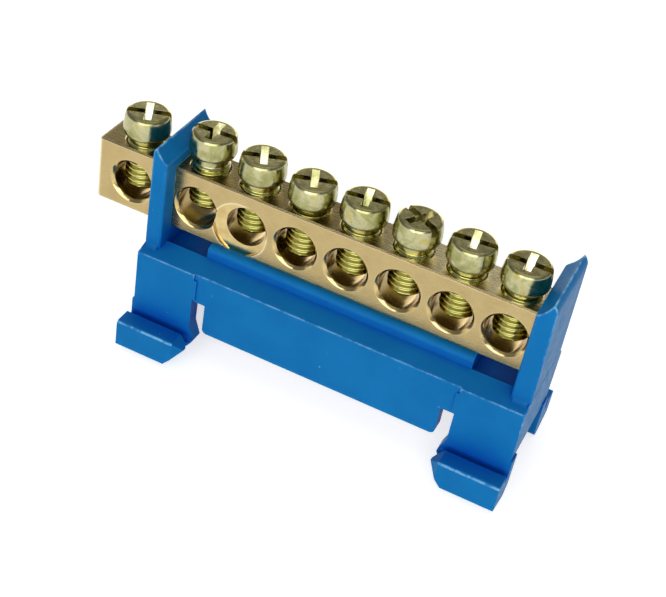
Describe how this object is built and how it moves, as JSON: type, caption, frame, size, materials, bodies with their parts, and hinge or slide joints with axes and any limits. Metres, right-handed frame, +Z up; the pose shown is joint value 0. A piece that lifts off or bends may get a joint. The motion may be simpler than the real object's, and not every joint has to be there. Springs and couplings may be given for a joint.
{
  "type": "neutral terminal bar",
  "caption": "Cross-drilled brass terminal bar with clamp screws, held between the end plates of a blue moulded carrier whose hooked legs clip on a mounting rail.",
  "frame": {"origin": "middle of the rail seat: the plane of the skirt edges that rest on the rail, midway between the legs and in the middle plane of the bar", "axes": "+X along the bar to the right, away from the terminal that stands outside the carrier; +Y to the back, along the rail; +Z up, the way the screws come out"},
  "size_m": [0.0619, 0.0214, 0.0305],
  "materials": {
    "carrier_plastic": "blue moulded nylon, semi-gloss, whitened along a few edges",
    "bar_brass": "drawn brass, fine matte scratches, bright at the hole edges",
    "screw_zinc": "yellow passivated zinc on steel"
  },
  "bodies": {
    "carrier": {"carrier": "carrier_plastic", "terminal_bar": "bar_brass"},
    "clamp_screw_1": {"clamp_screw_1": "screw_zinc"},
    "clamp_screw_2": {"clamp_screw_2": "screw_zinc"},
    "clamp_screw_3": {"clamp_screw_3": "screw_zinc"},
    "clamp_screw_4": {"clamp_screw_4": "screw_zinc"},
    "clamp_screw_5": {"clamp_screw_5": "screw_zinc"},
    "clamp_screw_6": {"clamp_screw_6": "screw_zinc"},
    "clamp_screw_7": {"clamp_screw_7": "screw_zinc"},
    "clamp_screw_8": {"clamp_screw_8": "screw_zinc"}
  },
  "joints": [
    {"name": "clamp_1_travel", "type": "slide", "parent": "carrier", "child": "clamp_screw_1", "axis": [0, 0, 1], "range_m": [-0.00035, 0.00415]},
    {"name": "clamp_2_travel", "type": "slide", "parent": "carrier", "child": "clamp_screw_2", "axis": [0, 0, 1], "range_m": [-0.00125, 0.00325]},
    {"name": "clamp_3_travel", "type": "slide", "parent": "carrier", "child": "clamp_screw_3", "axis": [0, 0, 1], "range_m": [-0.00055, 0.00395]},
    {"name": "clamp_4_travel", "type": "slide", "parent": "carrier", "child": "clamp_screw_4", "axis": [0, 0, 1], "range_m": [-0.00005, 0.00445]},
    {"name": "clamp_5_travel", "type": "slide", "parent": "carrier", "child": "clamp_screw_5", "axis": [0, 0, 1], "range_m": [-0.00035, 0.00415]},
    {"name": "clamp_6_travel", "type": "slide", "parent": "carrier", "child": "clamp_screw_6", "axis": [0, 0, 1], "range_m": [-0.00055, 0.00395]},
    {"name": "clamp_7_travel", "type": "slide", "parent": "carrier", "child": "clamp_screw_7", "axis": [0, 0, 1], "range_m": [-0.00035, 0.00415]},
    {"name": "clamp_8_travel", "type": "slide", "parent": "carrier", "child": "clamp_screw_8", "axis": [0, 0, 1], "range_m": [-0.00025, 0.00425]}
  ]
}
